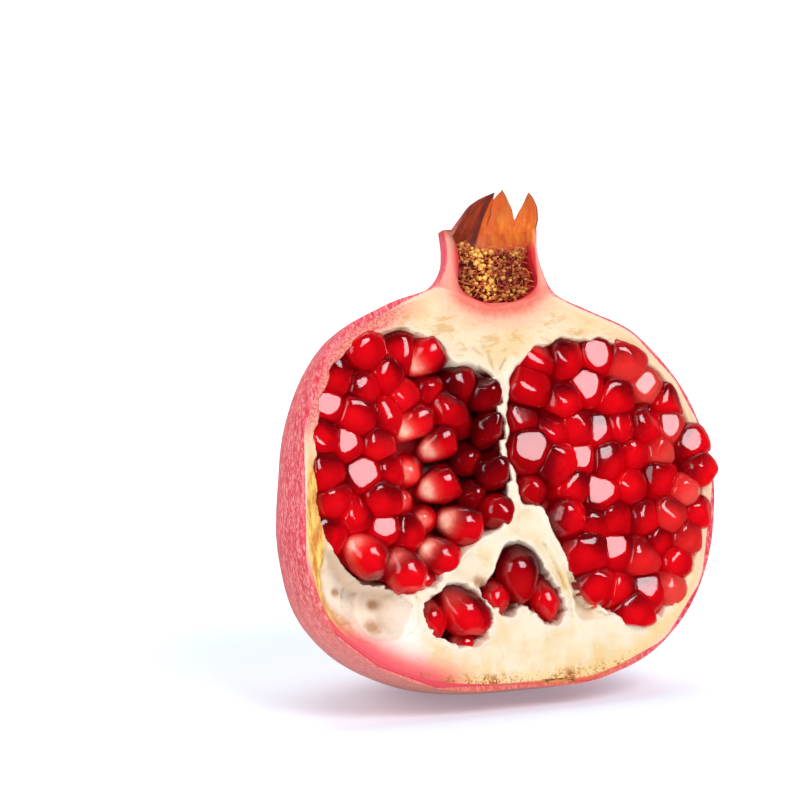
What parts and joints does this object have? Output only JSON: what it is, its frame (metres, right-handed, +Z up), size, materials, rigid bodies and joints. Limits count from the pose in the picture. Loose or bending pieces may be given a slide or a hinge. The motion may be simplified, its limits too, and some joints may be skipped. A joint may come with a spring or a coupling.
{
  "type": "pomegranate",
  "caption": "Half of a ripe pomegranate, cut from crown to base, with its arils, pith, red skin and crown, standing on its blunt base.",
  "frame": {"origin": "middle of the small flat spot on the base that the half rests on", "axes": "+Z up with the crown on top, -Y is the side of the cut face, which leans back by 14 degrees, +X across the cut"},
  "size_m": [0.0989, 0.0599, 0.1057],
  "materials": {
    "rind": "satin, faintly pitted, pink-red with yellow flecks",
    "pith": "matte, spongy, cream",
    "arils": "wet gloss, translucent deep red over a pale kernel",
    "stamens": "dry, matte, golden brown"
  },
  "bodies": {
    "root": {"rind": "rind", "pith": "pith", "arils_left": "arils", "arils_right": "arils", "arils_low_left": "arils", "arils_low_middle": "arils", "stamens": "stamens"}
  },
  "joints": []
}
